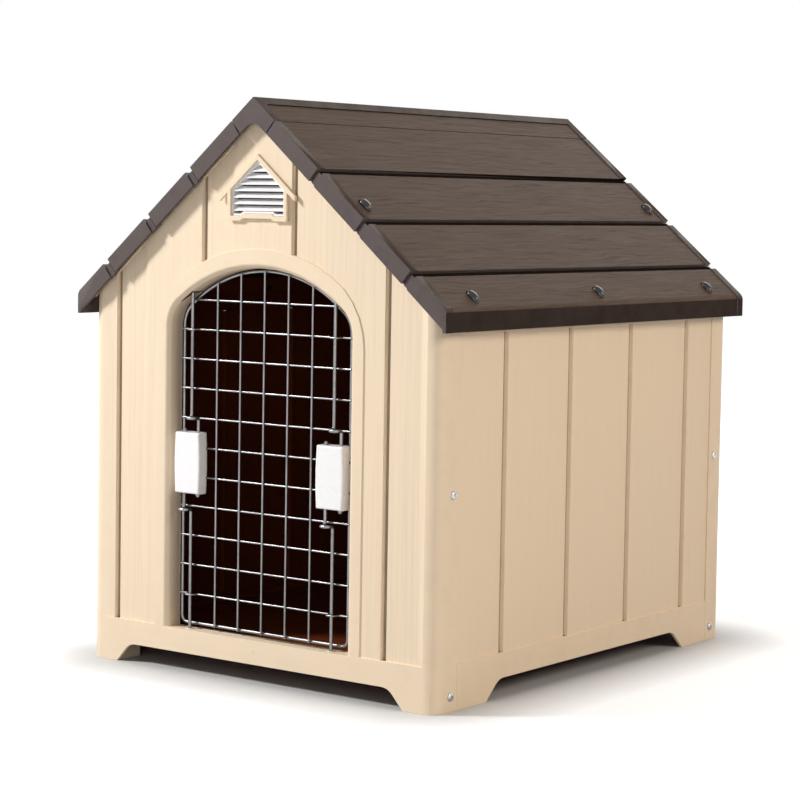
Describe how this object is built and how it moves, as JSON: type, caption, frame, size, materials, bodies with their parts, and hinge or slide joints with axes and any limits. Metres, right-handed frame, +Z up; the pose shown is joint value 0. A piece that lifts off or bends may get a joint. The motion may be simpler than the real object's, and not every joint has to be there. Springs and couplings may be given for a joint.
{
  "type": "dog house",
  "caption": "Moulded plastic dog house with planked walls on corner feet, a lapped gable roof, a gable vent and a hinged wire door with sprung bolts.",
  "frame": {"origin": "on the ground, under the middle of the body", "axes": "+Z up, the door faces -Y, +X is the right side seen from the door"},
  "size_m": [0.539, 0.647, 0.6639],
  "materials": {
    "beige_plastic": "fine vertical wood grain moulded in, satin",
    "brown_plastic": "wood grain moulded in along the ridge, satin",
    "white_plastic": "smooth, semi-gloss",
    "dark_plastic": "smooth, glossy",
    "zinc_wire": "zinc plated, drawn wire"
  },
  "bodies": {
    "kennel": {"front_panel": "beige_plastic", "back_panel": "beige_plastic", "right_wall": "beige_plastic", "left_wall": "beige_plastic", "floor_panel": "beige_plastic", "roof_right": "brown_plastic", "roof_left": "brown_plastic", "ridge_cap": "brown_plastic", "vent_frame": "beige_plastic", "vent_louvres": "white_plastic", "corner_screw_1": "zinc_wire", "corner_screw_2": "zinc_wire", "corner_screw_3": "zinc_wire", "corner_screw_4": "zinc_wire", "corner_screw_5": "zinc_wire", "corner_screw_6": "zinc_wire", "corner_screw_7": "zinc_wire", "corner_screw_8": "zinc_wire"},
    "door": {"door_grille": "zinc_wire", "latch_shell_left": "white_plastic", "latch_cover_left": "white_plastic", "spring_left_upper": "zinc_wire", "spring_left_lower": "zinc_wire", "latch_shell_right": "white_plastic", "latch_cover_right": "white_plastic", "spring_right_upper": "zinc_wire", "spring_right_lower": "zinc_wire"},
    "rod_left_upper_body": {"rod_left_upper": "zinc_wire"},
    "rod_left_lower_body": {"rod_left_lower": "zinc_wire"},
    "rod_right_upper_body": {"rod_right_upper": "zinc_wire"},
    "rod_right_lower_body": {"rod_right_lower": "zinc_wire"},
    "roof_lock_1_body": {"roof_lock_1": "dark_plastic"},
    "roof_lock_2_body": {"roof_lock_2": "dark_plastic"},
    "roof_lock_3_body": {"roof_lock_3": "dark_plastic"},
    "roof_lock_4_body": {"roof_lock_4": "dark_plastic"},
    "roof_lock_5_body": {"roof_lock_5": "dark_plastic"},
    "roof_lock_6_body": {"roof_lock_6": "dark_plastic"},
    "roof_lock_7_body": {"roof_lock_7": "dark_plastic"},
    "roof_lock_8_body": {"roof_lock_8": "dark_plastic"},
    "roof_lock_9_body": {"roof_lock_9": "dark_plastic"},
    "roof_lock_10_body": {"roof_lock_10": "dark_plastic"}
  },
  "joints": [
    {"name": "door_swing", "type": "hinge", "parent": "kennel", "child": "door", "pos_m": [-0.105, -0.3025, 0], "axis": [0, 0, -1], "range_deg": [0, 110]},
    {"name": "rod_left_upper_slide", "type": "slide", "parent": "door", "child": "rod_left_upper_body", "axis": [0, 0, -1], "range_m": [0, 0.014], "stiffness_N_per_m": 200, "springref_m": -0.02, "deforming": ["spring_left_upper"]},
    {"name": "rod_left_lower_slide", "type": "slide", "parent": "door", "child": "rod_left_lower_body", "axis": [0, 0, 1], "range_m": [0, 0.014], "stiffness_N_per_m": 200, "springref_m": -0.02, "deforming": ["spring_left_lower"]},
    {"name": "rod_right_upper_slide", "type": "slide", "parent": "door", "child": "rod_right_upper_body", "axis": [0, 0, -1], "range_m": [0, 0.014], "stiffness_N_per_m": 200, "springref_m": -0.02, "deforming": ["spring_right_upper"]},
    {"name": "rod_right_lower_slide", "type": "slide", "parent": "door", "child": "rod_right_lower_body", "axis": [0, 0, 1], "range_m": [0, 0.014], "stiffness_N_per_m": 200, "springref_m": -0.02, "deforming": ["spring_right_lower"]},
    {"name": "roof_lock_1_turn", "type": "hinge", "parent": "kennel", "child": "roof_lock_1_body", "pos_m": [0.13991, -0.298, 0.54443], "axis": [0.6441, 0, 0.7649], "range_deg": [0, 90]},
    {"name": "roof_lock_2_turn", "type": "hinge", "parent": "kennel", "child": "roof_lock_2_body", "pos_m": [0.13991, 0.298, 0.54443], "axis": [0.6441, 0, 0.7649], "range_deg": [0, 90]},
    {"name": "roof_lock_3_turn", "type": "hinge", "parent": "kennel", "child": "roof_lock_3_body", "pos_m": [0.25466, -0.255, 0.44779], "axis": [0.6441, 0, 0.7649], "range_deg": [0, 90]},
    {"name": "roof_lock_4_turn", "type": "hinge", "parent": "kennel", "child": "roof_lock_4_body", "pos_m": [0.25466, 0, 0.44779], "axis": [0.6441, 0, 0.7649], "range_deg": [0, 90]},
    {"name": "roof_lock_5_turn", "type": "hinge", "parent": "kennel", "child": "roof_lock_5_body", "pos_m": [0.25466, 0.255, 0.44779], "axis": [0.6441, 0, 0.7649], "range_deg": [0, 90]},
    {"name": "roof_lock_6_turn", "type": "hinge", "parent": "kennel", "child": "roof_lock_6_body", "pos_m": [-0.13991, 0.298, 0.54443], "axis": [-0.6441, 0, 0.7649], "range_deg": [0, 90]},
    {"name": "roof_lock_7_turn", "type": "hinge", "parent": "kennel", "child": "roof_lock_7_body", "pos_m": [-0.13991, -0.298, 0.54443], "axis": [-0.6441, 0, 0.7649], "range_deg": [0, 90]},
    {"name": "roof_lock_8_turn", "type": "hinge", "parent": "kennel", "child": "roof_lock_8_body", "pos_m": [-0.25466, 0.255, 0.44779], "axis": [-0.6441, 0, 0.7649], "range_deg": [0, 90]},
    {"name": "roof_lock_9_turn", "type": "hinge", "parent": "kennel", "child": "roof_lock_9_body", "pos_m": [-0.25466, 0, 0.44779], "axis": [-0.6441, 0, 0.7649], "range_deg": [0, 90]},
    {"name": "roof_lock_10_turn", "type": "hinge", "parent": "kennel", "child": "roof_lock_10_body", "pos_m": [-0.25466, -0.255, 0.44779], "axis": [-0.6441, 0, 0.7649], "range_deg": [0, 90]}
  ]
}
